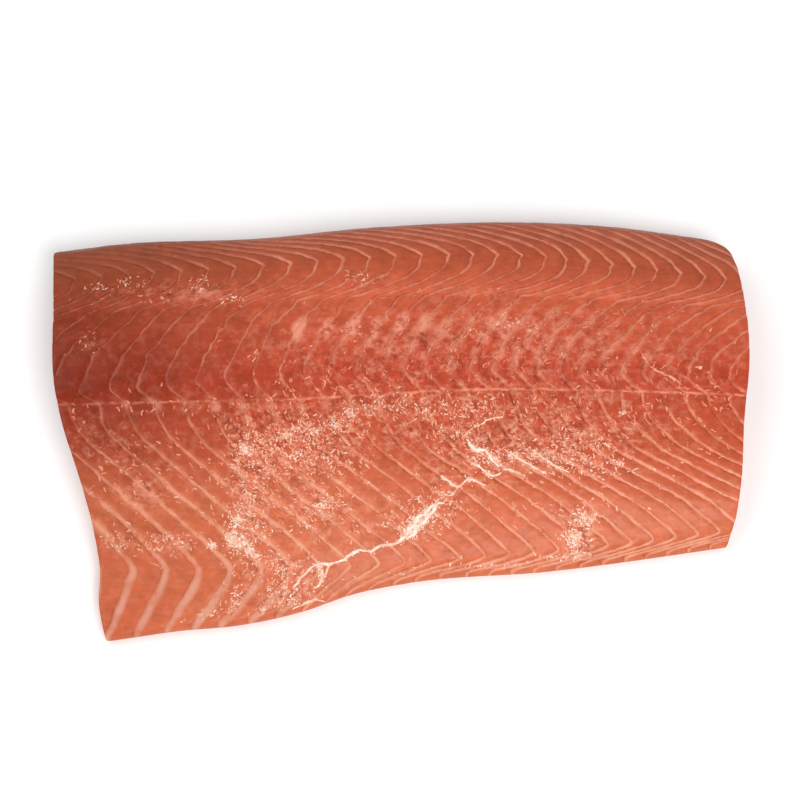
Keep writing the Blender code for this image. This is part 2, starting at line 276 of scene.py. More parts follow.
PINK_SHREDS = (
    (0.03, 0.026, 0.07, 0.014, 0.17), (0.095, 0.025, 0.045, 0.016, 0.14),
    (0.01, 0.002, 0.06, 0.008, 0.42), (0.085, -0.002, 0.05, 0.012, 0.36),
    (-0.03, 0.012, 0.03, 0.008, 0.4), (-0.05, -0.02, 0.03, 0.016, 0.48),
    (-0.068, -0.035, 0.012, 0.03, 0.6), (-0.04, -0.045, 0.03, 0.018, 0.35),
    (0.035, -0.015, 0.02, 0.012, 0.4), (0.085, -0.022, 0.03, 0.01, 0.38),
    (-0.05, -0.078, 0.013, 0.012, 0.65), (-0.077, -0.084, 0.005, 0.012, 0.6),
    (-0.115, -0.058, 0.025, 0.008, 0.3), (-0.11, 0.058, 0.04, 0.004, 0.25),
    (0.01, -0.045, 0.03, 0.012, 0.3), (0.07, -0.045, 0.03, 0.006, 0.25), (0.14, 0.005, 0.02, 0.02, 0.25),
    (-0.075, 0.003, 0.045, 0.004, 0.25), (0.06, 0.045, 0.08, 0.01, 0.15),
    (-0.118, -0.028, 0.028, 0.018, 0.2), (-0.125, 0.002, 0.03, 0.005, 0.14),
)

# Torn strands of connective tissue: half width, tint from 0 pink to 1 white, points along them
STRANDS = (
    (0.00055, 0.8, ((-0.048, -0.08), (-0.0424, -0.0735), (-0.0372, -0.0692), (-0.03, -0.0686),
            (-0.025, -0.067), (-0.021, -0.0648), (-0.017, -0.063), (-0.012, -0.0633), (-0.008, -0.061),
            (-0.003, -0.06), (0.002, -0.0585), (0.005, -0.0552))),
    (0.00085, 0.95, ((0.001, -0.0588), (0.0045, -0.0562), (0.006, -0.0532), (0.0085, -0.051),
            (0.01, -0.048), (0.013, -0.0468), (0.0155, -0.044), (0.018, -0.042))),
    (0.0008, 0.9, ((0.004, -0.0575), (0.0082, -0.0555), (0.0095, -0.0525), (0.013, -0.0505),
            (0.0145, -0.0478), (0.0172, -0.0455), (0.019, -0.0425), (0.0225, -0.0418))),
    (0.0005, 0.75, ((-0.0365, -0.069), (-0.0345, -0.0722), (-0.035, -0.0765), (-0.0385, -0.0805))),
    (0.00045, 0.7, ((-0.0315, -0.0685), (-0.0318, -0.0712), (-0.0335, -0.0742), (-0.0352, -0.0768))),
    (0.00045, 0.65, ((-0.048, -0.0895), (-0.043, -0.0872), (-0.038, -0.085), (-0.033, -0.0858))),
    (0.0005, 0.72, ((0.0202, -0.0298), (0.0235, -0.0315), (0.0262, -0.0338), (0.0295, -0.0342),
            (0.0318, -0.0322), (0.034, -0.031), (0.0372, -0.0322), (0.0412, -0.034))),
    (0.00045, 0.62, ((0.0205, -0.0368), (0.0225, -0.0382), (0.0255, -0.0385), (0.0275, -0.0365),
            (0.028, -0.0345))),
    (0.0005, 0.78, ((0.0345, -0.0235), (0.0378, -0.025), (0.0405, -0.0268), (0.043, -0.029),
            (0.0465, -0.0292), (0.049, -0.028))),
    (0.00045, 0.7, ((0.0495, -0.0262), (0.053, -0.0272), (0.0588, -0.0292))),
    (0.00075, 0.92, ((0.0325, -0.013), (0.035, -0.0155), (0.0375, -0.018), (0.041, -0.0178),
            (0.0435, -0.0205), (0.0455, -0.0235), (0.048, -0.0255))),
    (0.0005, 0.8, ((0.052, -0.019), (0.055, -0.0205), (0.0575, -0.0222), (0.062, -0.0248),
            (0.07, -0.029))),
    (0.00045, 0.72, ((0.064, -0.0185), (0.0672, -0.0205), (0.072, -0.024), (0.08, -0.028))),
    (0.0004, 0.62, ((0.0305, -0.0125), (0.033, -0.0095), (0.037, -0.007), (0.041, -0.0045),
            (0.045, -0.0032), (0.05, -0.0025))),
    (0.00065, 0.24, ((0.115, 0.03), (0.118, 0.0255), (0.1204, 0.0219), (0.1279, 0.0181),
            (0.1343, 0.0138))),
)


def cubic(t, span, first, last, first_slope, last_slope):
    """Value a part t of the way along a span, by the cubic with given values and slopes at its ends."""
    return ((1 + 2 * t) * (1 - t) ** 2 * first + t * (1 - t) ** 2 * span * first_slope
            + t * t * (3 - 2 * t) * last + t * t * (t - 1) * span * last_slope)


def smooth_curve(points, at):
    """Curve through given (place, value) points: cubic between them, straight beyond the ends.

    The slope at each point is the mean slope of the two stretches that meet there.
    """
    place, value = np.array(points, dtype=float).T
    slope = np.gradient(value, place)
    at = np.asarray(at, dtype=float)
    left = np.clip(np.searchsorted(place, at) - 1, 0, len(place) - 2)
    span = place[left + 1] - place[left]
    t = np.clip((at - place[left]) / span, 0.0, 1.0)
    inside = cubic(t, span, value[left], value[left + 1], slope[left], slope[left + 1])
    before = np.minimum(at - place[0], 0.0) * slope[0]
    after = np.maximum(at - place[-1], 0.0) * slope[-1]
    return inside + before + after


def smooth_step(low, high, value):
    """0 below low, 1 above high, and 3t squared less 2t cubed between."""
    t = np.clip((value - low) / (high - low), 0.0, 1.0)
    return t * t * (3 - 2 * t)


def band(stretch, value):
    """1 in the full part of a stretch, eased down to 0 at both its ends by smooth steps."""
    start, full, fading, end = stretch
    return smooth_step(start, full, value) * (1 - smooth_step(fading, end, value))


def lattice_noise(x, y, cell, seed):
    """Smooth noise from -1 to 1: seeded values on a square lattice, blended with an S curve."""
    table = np.random.default_rng(seed).uniform(-1.0, 1.0, (LATTICE_SIZE, LATTICE_SIZE))
    gx, gy = x / cell + LATTICE_SHIFT[0], y / cell + LATTICE_SHIFT[1]
    ix, iy = np.floor(gx).astype(int), np.floor(gy).astype(int)
    sx, sy = smooth_step(0.0, 1.0, gx - ix), smooth_step(0.0, 1.0, gy - iy)
    corner = [table[(ix + i) % LATTICE_SIZE, (iy + j) % LATTICE_SIZE] for i in (0, 1) for j in (0, 1)]
    near = corner[0] * (1 - sy) + corner[1] * sy
    far = corner[2] * (1 - sy) + corner[3] * sy
    return near * (1 - sx) + far * sx


def noise_along(at, row, cell, seed):
    """Lattice noise along a line, one line of the lattice for each row."""
    return lattice_noise(at, np.full_like(at, row), cell, seed)


def layered_noise(x, y, layers):
    """Sum of the layers' lattice noises, each times its amount."""
    return sum(amount * lattice_noise(x, y, cell, seed) for amount, cell, seed in layers)


def soft_spots(x, y, spots):
    """Cover of soft ellipses: one less the product of what each leaves, edges falling as a bell."""
    left = np.ones_like(x)
    for cx, cy, half_x, half_y, strength in spots:
        reach = ((x - cx) / half_x) ** 2 + ((y - cy) / half_y) ** 2
        left = left * (1 - strength * np.exp(-reach ** 1.5))
    return 1 - left


# Form of the side

def guide_lines(x):
    """y of all guide lines at each x, stacked along a new first axis."""
    lines = []
    for number, guide in enumerate(GUIDES):
        if number == BELLY_SHOULDER:
            lines.append(smooth_curve(BELLY_EDGE, x) + BELLY_RIM)
        elif number == BACK_SHOULDER:
            rounding = BACK_UPPER_DEPTH * (1 - np.cos(BACK_UPPER_ANGLE))
            lines.append(smooth_curve(BACK_EDGE, x) - rounding)
        else:
            lines.append(smooth_curve(tuple(zip(LENGTH_STATIONS, guide.y_at)), x))
    return np.array(lines)


NOMINAL_Y = guide_lines(np.zeros(1))[:, 0]


def across_index(x, y):
    """Where a point lies across the fish: the guide line's number below it plus the part to the next."""
    lines = guide_lines(x)
    below = np.clip((lines <= y).sum(axis=0) - 1, 0, len(GUIDES) - 2)
    low = np.take_along_axis(lines, below[None], 0)[0]
    high = np.take_along_axis(lines, below[None] + 1, 0)[0]
    return below + np.clip((y - low) / (high - low), 0.0, 1.0)


def flesh_height(x, y):
    """Profile height scaled along the fish, less the two long grooves, plus the low waves."""
    across = np.interp(across_index(x, y), range(len(GUIDES)), NOMINAL_Y)
    height = smooth_curve(FLESH_PROFILE, across) * smooth_curve(THICKNESS_ALONG, x)
    lines = guide_lines(x)
    for number, depth in ((PIN_BONES, PIN_BONE_GROOVE), (LATERAL, LATERAL_GROOVE)):
        height = height - depth * np.exp(-((y - lines[number]) / GROOVE_HALF_WIDTH) ** 2)
    for rise, along, athwart, phase in SURFACE_WAVES:
        height = height + rise * np.sin(along * x + athwart * y + phase)
    return height


def septum_number(x, y, depth):
    """Number of the septum at a point, with the part of the way to the next one.

    Between two guide lines the x of septum k is a mix of its x on both, eased by the guide's bend,
    which runs on a little past both shoulders. Inside the flesh the sweep adds 4 d (1 - d) of
    itself, d being the depth from 0 to 1. Near the back a peak less a wider bell, both measured
    from the line of the tips, points them. The number is the k whose x is the point's, found by
    halving.
    """
    across = across_index(x, y)
    below = np.clip(np.floor(across).astype(int), 0, len(GUIDES) - 2)
    lines = guide_lines(x)
    low_y, high_y = lines[BACK_TIPS], lines[BACK_SHOULDER]
    past_back = np.clip((y - low_y) / (high_y - low_y), 1.0, 1.0 + PAST_SHOULDER)
    low_y, high_y = lines[BELLY_SHOULDER], lines[BELLY_TIPS]
    past_belly = np.clip((y - low_y) / (high_y - low_y), -PAST_SHOULDER, 0.0)
    part = np.where(across <= BELLY_SHOULDER, past_belly, across - below)
    part = np.where(across >= BACK_SHOULDER, past_back, part)
    bend = np.array([guide.bend for guide in GUIDES])[below]
    gentle = np.maximum(part, 0.0) ** np.abs(bend)
    way = np.where(bend > 0, gentle, 1 - np.maximum(1 - part, 0.0) ** np.abs(bend))
    stations = np.array([guide.septa_at for guide in GUIDES])
    places = (1 - way)[..., None] * stations[below] + way[..., None] * stations[below + 1]
    sweeps = np.interp(across, range(len(GUIDES)), [guide.sweep for guide in GUIDES])
    loin = band(WAVERING_LOIN, across)
    waver = sum((rise + more * loin) * lattice_noise(x, y, cell, seed)
                for rise, more, cell, seed in SEPTUM_WAVER)
    off_tips = np.abs(y - lines[BACK_TIPS]) / TIP_REACH
    point = np.exp(-off_tips) - np.exp(-(off_tips / 2.2) ** 2)
    target = x - sweeps * 4 * depth * (1 - depth) + waver - TIP_POINT * point * (1 - depth)
    slope = np.gradient(places, SEPTUM_STATIONS, axis=-1)
    low, high = np.full_like(target, LOWEST_NUMBER), np.full_like(target, HIGHEST_NUMBER)
    for _ in range(HALVINGS):
        middle = (low + high) / 2
        beyond = septum_x(places, slope, middle) > target
        high = np.where(beyond, middle, high)
        low = np.where(beyond, low, middle)
    return (low + high) / 2


def rounded_septum_number(x, y, depth):
    """Mean of the septum number at a point and just beside it, which rounds the septa's bends."""
    beside = (-BEND_ROUNDING, 0.0, BEND_ROUNDING)
    return sum(septum_number(x, y + shift, depth) for shift in beside) / len(beside)


def septum_x(places, slope, number):
    """x of septum numbers from x and its slope at the numbered stations, by smooth_curve's rule."""
    left = np.clip(np.searchsorted(SEPTUM_STATIONS, number) - 1, 0, len(SEPTUM_STATIONS) - 2)
    span = np.diff(SEPTUM_STATIONS)[left]
    t = np.clip((number - SEPTUM_STATIONS[left]) / span, 0.0, 1.0)
    ends = [np.take_along_axis(values, index[..., None], -1)[..., 0]
            for values in (places, slope) for index in (left, left + 1)]
    inside = cubic(t, span, *ends)
    before = np.minimum(number - SEPTUM_STATIONS[0], 0.0) * slope[..., 0]
    after = np.maximum(number - SEPTUM_STATIONS[-1], 0.0) * slope[..., -1]
    return inside + before + after


def torn_cover(x, y):
    """How torn the surface is, from 0 to 1: the soft areas, broken up by noise."""
    broken = 0.75 + layered_noise(x, y, TORN_BREAKS)
    return np.clip(soft_spots(x, y, TORN_AREAS) * broken, 0.0, 1.0)


def line_half_width(x, y):
    """Half width of the pale line along a septum: noise about its mean, more on the belly and flap."""
    across = across_index(x, y)
    headward = 1 - smooth_step(WIDENING_FULL, WIDENING_STARTS, x)
    flap = (1 - smooth_step(0.75, 1.35, across)) * headward
    belly = (1 - smooth_step(1.5, 3.2, across)) * headward
    varied = np.maximum(1 + layered_noise(x, y, LINE_VARIATION), 0.2)
    return LINE_HALF_WIDTH * varied + FLAP_WIDENING * flap + BELLY_WIDENING * belly


def flesh_relief(x, y, number, gap, half_width):
    """Rise of the flesh side over its plain form.

    Each flake swells as one less the fourth power of the way from its middle and stands a small
    step over the next one towards the head. A groove as a bell lies just before each septum. Torn
    ground adds noise, and a broken ridge as a bell along each septum.
    """
    part = number - np.floor(number)
    from_middle = np.abs(part - 0.5) * 2
    before_septum = (part - 1) * gap + half_width
    swell = FLAKE_SWELL * (1 - from_middle ** 4)
    step = FLAKE_STEP * (0.5 - part)
    groove = SEPTUM_DEPTH * np.exp(-(before_septum / SEPTUM_GROOVE_WIDTH) ** 2)
    torn = torn_cover(x, y)
    crags = TORN_RELIEF * torn * layered_noise(x, y, CRAGS)
    broken = np.maximum(0.4 + 1.2 * lattice_noise(x, y, 0.0034, 37), 0.0)
    beside_septum = (part - np.round(part)) * gap + 0.0012 * lattice_noise(x, y, 0.0030, 38)
    ridge = TORN_RIDGE * torn * broken * np.exp(-(beside_septum / RIDGE_WIDTH) ** 2)
    grain = 0.00006 * lattice_noise(x, y * 2.5, 0.0028, 34) + 0.00005 * lattice_noise(x, y, 0.0015, 35)
    fat = FAT_RISE * soft_spots(x, y, FAT_CLUMPS) * (0.6 + 0.9 * lattice_noise(x, y, 0.0016, 36))
    return (swell + step - groove) * (1 - 0.4 * torn) + crags + ridge + grain + fat


# Surface of the side

def section_rows(x):
    """y and z of every row round the section, for x given by row and column.

    Belly rim: half an ellipse. Flesh side: even steps of y from shoulder to shoulder. Back edge:
    two arcs above and below the widest line. Underside: even steps back, at z 0.
    """
    breaks = np.cumsum((RIM_ROWS, FLESH_ROWS, BACK_UPPER_ROWS, BACK_LOWER_ROWS))
    rim, flesh, upper, lower, under = np.split(x, breaks)

    def steps(count, start, stop, endpoint=True):
        return np.linspace(start, stop, count, endpoint=endpoint)[:, None]

    shoulder = guide_lines(rim)[BELLY_SHOULDER]
    turn = steps(RIM_ROWS, -np.pi / 2, np.pi / 2, endpoint=False)
    rim_height = flesh_height(rim, shoulder)
    ys = [shoulder - BELLY_RIM * np.cos(turn)]
    zs = [rim_height / 2 * (1 + np.sin(turn))]

    lines = guide_lines(flesh)
    part = steps(FLESH_ROWS, 0.0, 1.0)
    ys.append((1 - part) * lines[BELLY_SHOULDER] + part * lines[BACK_SHOULDER])
    zs.append(flesh_height(flesh, ys[-1]))

    turn = steps(BACK_UPPER_ROWS + 1, BACK_UPPER_ANGLE, 0.0)[1:]
    middle = BACK_MID_HEIGHT * smooth_curve(THICKNESS_ALONG, upper)
    rise = flesh_height(upper, guide_lines(upper)[BACK_SHOULDER]) - middle
    ys.append(smooth_curve(BACK_EDGE, upper) - BACK_UPPER_DEPTH * (1 - np.cos(turn)))
    zs.append(middle + rise * np.sin(turn) / np.sin(BACK_UPPER_ANGLE))

    turn = steps(BACK_LOWER_ROWS + 1, 0.0, np.pi / 2)[1:]
    ys.append(smooth_curve(BACK_EDGE, lower) - BACK_UNDERCUT * (1 - np.cos(turn)))
    zs.append(BACK_MID_HEIGHT * smooth_curve(THICKNESS_ALONG, lower) * (1 - np.sin(turn)))

    part = steps(UNDERSIDE_ROWS + 2, 0.0, 1.0)[1:-1]
    back = smooth_curve(BACK_EDGE, under) - BACK_UNDERCUT
    belly = smooth_curve(BELLY_EDGE, under) + BELLY_RIM
    ys.append((1 - part) * back + part * belly)
    zs.append(np.zeros_like(under))
    return np.concatenate(ys), np.concatenate(zs)


def plain_surface():
    """Points by row and column: x runs evenly from the head cut to the tail cut at each point's y.

    As y depends on x in turn, a first guess is worked out again until it no longer moves.
    """
    along = np.linspace(0.0, 1.0, COLUMNS)[None, :].repeat(ALL_ROWS, axis=0)
    x = GUESSED_HEAD + GUESSED_LENGTH * along
    for _ in range(SURFACE_ROUNDS):
        y, z = section_rows(x)
        head, tail = smooth_curve(HEAD_CUT, y), smooth_curve(TAIL_CUT, y)
        x = head + along * (tail - head)
    return np.stack((x, y, z), axis=-1)


def depth_at(points):
    """Depth in the flesh, from 0 on the flesh side to 1 on the underside."""
    x, y, z = np.moveaxis(points, -1, 0)
    lines = guide_lines(x)
    top = flesh_height(x, np.clip(y, lines[BELLY_SHOULDER], lines[BACK_SHOULDER]))
    return np.clip(1 - z / top, 0.0, 1.0)


def spacing(points, number):
    """Gap between septa measured on the surface: one over the length of the number's gradient."""
    du, dv = np.gradient(points, axis=0), np.gradient(points, axis=1)
    nu, nv = np.gradient(number, axis=0), np.gradient(number, axis=1)
    uu, uv, vv = (du * du).sum(-1), (du * dv).sum(-1), (dv * dv).sum(-1)
    slope = (vv * nu ** 2 - 2 * uv * nu * nv + uu * nv ** 2) / np.maximum(uu * vv - uv ** 2, 1e-16)
    return np.clip(1 / np.sqrt(np.maximum(slope, 1e-8)), 0.001, 0.030)


def surface_normals(points):
    """Unit normals of a grid of points, pointing out of the side."""
    normal = np.cross(np.gradient(points, axis=1), np.gradient(points, axis=0))
    return normal / np.linalg.norm(normal, axis=-1, keepdims=True)


def describe(points, depth, number, gap):
    """The values that the flesh material reads at each point, by attribute name.

    The dark muscle lies deep in the flesh below the lateral line, in a band that widens downwards.
    """
    x, y, _ = np.moveaxis(points, -1, 0)
    on_top = 1 - smooth_step(0.02, 0.12, depth)
    off_lateral = y - guide_lines(x)[LATERAL]
    dark_reach = DARK_HALF_WIDTH * smooth_step(0.72, 1.0, depth) + 0.0001
    dark = 1 - smooth_step(0.35, 1.15, np.abs(off_lateral) / dark_reach)
    inside = smooth_step(0.10, 0.85, depth)
    return {
        "septum": number,
        "gap": gap,
        "half_width": line_half_width(x, y) * (1 - inside) + INNER_HALF_WIDTH * inside,
        "across": across_index(x, y),
        "torn": torn_cover(x, y) * on_top,
        "smear": soft_spots(x, y, SPREAD_FAT) * on_top,
        "fat": soft_spots(x, y, FAT_CLUMPS) * on_top,
        "lateral": off_lateral + (1 - on_top),
        "depth": depth,
        "dark": dark * smooth_step(0.70, 0.76, depth),
    }


def cut_face(points, column):
    """Rows of points across one cut end, between the outer rows and the underside.

    Row r is the way r over CUT_ROWS from each outer point straight to its place on the underside,
    and x is the knife's line at its y.
    """
    outer = points[:OUTER_ROWS, column]
    foot = np.linspace(0.0, 1.0, OUTER_ROWS)[:, None] * (outer[-1] - outer[0]) + outer[0]
    way = (np.arange(CUT_ROWS) / CUT_ROWS)[:, None, None]
    inside = (1 - way) * outer + way * foot
    cut = HEAD_CUT if column == 0 else TAIL_CUT
    inside[1:, 1:-1, 0] = smooth_curve(cut, inside[1:, 1:-1, 1])
    return inside


def grid_faces(index):
    """Quads between neighbouring rows and columns of an array of vertex numbers."""
    corners = (index[:-1, :-1], index[1:, :-1], index[1:, 1:], index[:-1, 1:])
    return np.stack(corners, axis=-1).reshape(-1, 4)


def cut_face_indices(faces_index, foot_index):
    """Faces of a cut end: quads between its rows, triangles at both ends and down to the underside.

    Row 0 and the first and last points of every row are the side's own vertices. Each stretch of
    the last row takes the nearest foot, and each stretch of the feet the row point where it changes;
    the two end stretches start at their own foot and need no face.
    """
    quads = grid_faces(faces_index[:, 1:-1]).tolist()
    for edge, near in ((0, 1), (-1, -2)):
        quads += [(faces_index[row, edge], faces_index[row, near], faces_index[row + 1, near])
                  for row in range(len(faces_index) - 1)]
    last = faces_index[-1]
    count = len(last) - 1
    nearest = np.floor((np.arange(count) + 0.5) / count * (len(foot_index) - 1) + 0.5).astype(int)
    quads += np.stack((last[:-1], last[1:], foot_index[nearest]), axis=-1)[1:-1].tolist()
    changes = np.nonzero(np.diff(nearest))[0]
    quads += np.stack((foot_index[nearest[changes]], last[changes + 1],
                       foot_index[nearest[changes + 1]]), axis=-1).tolist()
    return quads


def relief_of(points, depth, number, gap):
    """Rise of every point over the plain form: the flesh's relief, less round the edges and down.

    Towards the cuts the surface drops by the knife edge's drop times a falling exponential.
    """
    x, y, _ = np.moveaxis(points, -1, 0)
    share = np.full(ALL_ROWS, EDGE_RELIEF)
    share[:RIM_ROWS] = np.linspace(RIM_RELIEF, 1.0, RIM_ROWS)
    share[RIM_ROWS:FLESH_END - FADE_ROWS] = 1.0
    share[FLESH_END - FADE_ROWS:FLESH_END] = np.linspace(1.0, EDGE_RELIEF, FADE_ROWS)
    relief = flesh_relief(x, y, number, gap, line_half_width(x, y))
    relief = relief * share[:, None] * np.clip(1 - 1.4 * depth, 0.0, 1.0)
    to_knife = np.minimum(x - smooth_curve(HEAD_CUT, y), smooth_curve(TAIL_CUT, y) - x)
    drop = KNIFE_EDGE_DROP * np.exp(-to_knife / KNIFE_EDGE_WIDTH)
    return relief - drop * (1 - smooth_step(0.5, 0.9, depth))


def cut_end(points, column, out):
    """Points of one cut end, rippled where they lie clear of its edges, and its described values.

    The ripple swells each flake as one less the fourth power of the way from its middle, over noise.
    """
    face = cut_face(points, column)
    depth = depth_at(face)
    number = rounded_septum_number(face[..., 0], face[..., 1], depth)
    gap = spacing(face, number)
    from_middle = np.abs(number - np.floor(number) - 0.5) * 2
    ripple = (CUT_FLAKE_SWELL * (1 - from_middle ** 4) - CUT_FLAKE_SWELL
              + CUT_RIPPLE * lattice_noise(face[..., 1], face[..., 2], 0.006, 41))
    away = np.minimum(np.arange(CUT_ROWS), CUT_ROWS / 2)[:, None] / (CUT_ROWS / 2)
    face[..., 0] += out * ripple * smooth_step(0.0, 1.0, away)
    return face, describe(face, depth, number, gap)


def flesh_piece():
    """The whole side: the surface round it, its relief, and the two knife-cut ends, as one mesh."""
    plain = plain_surface()
    depth = depth_at(plain)
    depth[RIM_ROWS:FLESH_END] = 0.0
    number = rounded_septum_number(plain[..., 0], plain[..., 1], depth)
    gap = spacing(plain, number)
    described = describe(plain, depth, number, gap)
    points = plain + surface_normals(plain) * relief_of(plain, depth, number, gap)[..., None]

    index = np.arange(ALL_ROWS * COLUMNS).reshape(ALL_ROWS, COLUMNS)
    vertices = [points.reshape(-1, 3)]
    values = {name: [value.ravel()] for name, value in described.items()}
    faces = grid_faces(np.concatenate((index, index[:1]))).tolist()
    total = index.size
    for column, out in ((0, -1.0), (COLUMNS - 1, 1.0)):
        face, described = cut_end(points, column, out)
        inner = face[1:, 1:-1]
        face_index = np.empty(face.shape[:2], dtype=int)
        face_index[0] = index[:OUTER_ROWS, column]
        face_index[:, 0] = index[0, column]
        face_index[:, -1] = index[OUTER_ROWS - 1, column]
        count = inner.shape[0] * inner.shape[1]
        face_index[1:, 1:-1] = total + np.arange(count).reshape(inner.shape[:2])
        total += count
        vertices.append(inner.reshape(-1, 3))
        for name, value in described.items():
            values[name].append(value[1:, 1:-1].ravel())
        foot = np.concatenate((index[:1, column], index[:OUTER_ROWS - 1:-1, column],
                               index[OUTER_ROWS - 1:OUTER_ROWS, column]))
        faces += cut_face_indices(face_index, foot)

    mesh = bpy.data.meshes.new("salmon_flesh")
    mesh.from_pydata(np.concatenate(vertices), [], faces)
    for name, value in values.items():
        attribute = mesh.attributes.new(name, "FLOAT", "POINT")
        attribute.data.foreach_set("value", np.concatenate(value).astype(np.float32))
    outward(mesh)
    mesh.shade_smooth()
    mesh.set_sharp_from_angle(angle=np.radians(48.0))
    return link_object("salmon_flesh", mesh), points


def surface_height(points, x, y):
    """Height of the finished flesh side at any x and y, read between its own rows and columns."""
    lines = guide_lines(x)
    head, tail = smooth_curve(HEAD_CUT, y), smooth_curve(TAIL_CUT, y)
    column = np.clip((x - head) / (tail - head), 0.0, 1.0) * (COLUMNS - 1)
    part = (y - lines[BELLY_SHOULDER]) / (lines[BACK_SHOULDER] - lines[BELLY_SHOULDER])
    row = RIM_ROWS + np.clip(part, 0.0, 1.0) * (FLESH_ROWS - 1)
    i, j = np.minimum(row.astype(int), len(points) - 2), np.minimum(column.astype(int), COLUMNS - 2)
    si, sj = row - i, column - j
    z = points[..., 2]
    near = z[i, j] * (1 - sj) + z[i, j + 1] * sj
    far = z[i + 1, j] * (1 - sj) + z[i + 1, j + 1] * sj
    return near * (1 - si) + far * si


def tube_faces(rings, sides, start):
    """Outward faces of a tube of rings closed by a point at both ends, for many tubes at once.

    start holds each tube's first vertex. Its rings come first and its two end points last.
    """
    ring, side = np.meshgrid(np.arange(rings - 1), np.arange(sides), indexing="ij")
    beside = (side + 1) % sides
    quads = np.stack((ring * sides + side, (ring + 1) * sides + side,
                      (ring + 1) * sides + beside, ring * sides + beside), axis=-1).reshape(-1, 4)
    around, after = np.arange(sides), (np.arange(sides) + 1) % sides
    last = (rings - 1) * sides
    first_end = np.stack((np.full(sides, rings * sides), around, after), axis=-1)
    last_end = np.stack((np.full(sides, rings * sides + 1), last + after, last + around), axis=-1)
    quads = (start[:, None, None] + quads).reshape(-1, 4)
    ends = (start[:, None, None] + np.concatenate((first_end, last_end))).reshape(-1, 3)
    return quads.tolist() + ends.tolist()


def tube_points(spine, radius, points, flat, sink, sides):
    """Vertices of tubes along spines (tube, ring, xy), lying on the flesh and sunk a little in it.

    A ring is an ellipse across the spine, flat times as high as wide. It touches the flesh from
    above and is then lowered by sink times its radius. Two end points close the tube.
    """
    along = np.gradient(spine, axis=1)
    along /= np.maximum(np.linalg.norm(along, axis=-1, keepdims=True), 1e-9)
    athwart = np.stack((-along[..., 1], along[..., 0]), axis=-1)
    turn = np.arange(sides) / sides * 2 * np.pi
    reach = radius[..., None] * np.cos(turn)
    plan = spine[:, :, None] + athwart[:, :, None] * reach[..., None]
    height = surface_height(points, plan[..., 0], plan[..., 1])
    lift = radius[..., None] * (flat * np.sin(turn) + flat - sink)
    rings = np.concatenate((plan, (height + lift)[..., None]), axis=-1)
    ends = spine[:, [0, -1]] + along[:, [0, -1]] * radius[:, [0, -1], None] * ((-0.5,), (0.5,))
    end_height = surface_height(points, ends[..., 0], ends[..., 1])
    end_height = end_height + radius[:, [0, -1]] * (flat - sink)
    ends = np.concatenate((ends, end_height[..., None]), axis=-1)
    return np.concatenate((rings.reshape(len(spine), -1, 3), ends), axis=1)


def on_flesh_side(places):
    """The places that lie between the shoulders and between the cuts."""
    x, y = places.T
    lines = guide_lines(x)
    inside = ((x > smooth_curve(HEAD_CUT, y) + CUT_CLEARANCE) & (y > lines[BELLY_SHOULDER])
              & (x < smooth_curve(TAIL_CUT, y) - CUT_CLEARANCE) & (y < lines[BACK_SHOULDER]))
    return places[inside]


def off_septum(x, y):
    """How far a place is from the nearest septum, in parts of their spacing."""
    number = septum_number(x, y, np.zeros_like(x))
    return np.abs(number - np.round(number))


def along_septa(x, y):
    """Heading of the septa: square to the slope of their number, measured over half a millimetre."""
    top, step = np.zeros_like(x), 0.0005
    number = septum_number(x, y, top)
    tailward = septum_number(x + step, y, top) - number
    backward = septum_number(x, y + step, top) - number
    return np.arctan2(tailward, -backward)


def strewn(areas, count, near, seed):
    """Places drawn about the soft areas as a normal spread, in clumps.

    A share falls out by noise, and another away from the septa: the part that near gives.
    """
    rng = np.random.default_rng(seed)
    cx, cy, half_x, half_y, strength = np.array(areas).T
    share = half_x * half_y * strength
    area = rng.choice(len(areas), size=count, p=share / share.sum())
    middle, reach = np.stack((cx, cy), axis=-1)[area], np.stack((half_x, half_y), axis=-1)[area]
    places = middle + reach * rng.normal(0.0, AREA_SPREAD, (count, 2))
    clumped = 0.65 + 0.60 * lattice_noise(places[:, 0], places[:, 1], 0.0032, seed + 1)
    off = off_septum(places[:, 0], places[:, 1]) / SEPTUM_NEARNESS
    clumped *= 1 - near + near * np.exp(-off ** 2)
    return on_flesh_side(places[rng.random(count) < clumped])


def strand_spine(path, spacing_along, seed):
    """Points along a curve through a strand's listed points, wavering by noise.

    Gives them with how far along the strand each one lies.
    """
    path = np.array(path)
    chord = np.concatenate(((0.0,), np.cumsum(np.linalg.norm(np.diff(path, axis=0), axis=1))))
    at = np.linspace(0.0, chord[-1], int(chord[-1] / spacing_along) + 2)
    smooth = [smooth_curve(np.stack((chord, path[:, axis]), axis=-1), at) for axis in (0, 1)]
    waver = [noise_along(at, 0.3 * axis, 0.0017, seed) for axis in (1, 2)]
    return np.stack(smooth, axis=-1) + STRAND_WAVER * np.stack(waver, axis=-1), at


def beside_strands(seed):
    """Places close beside the whitish strands, more of them along the thick ones."""
    rng = np.random.default_rng(seed)
    places = []
    for number, (half_width, tint, path) in enumerate(STRANDS):
        spine, _ = strand_spine(path, 0.0001, number)
        count = int(len(spine) * (tint > 0.6) * (half_width / 0.0010) ** 2 * 0.40)
        chosen = spine[rng.integers(len(spine), size=count)]
        places.append(chosen + rng.normal(0.0, 1.1 * half_width, (count, 2)))
    return on_flesh_side(np.concatenate(places))


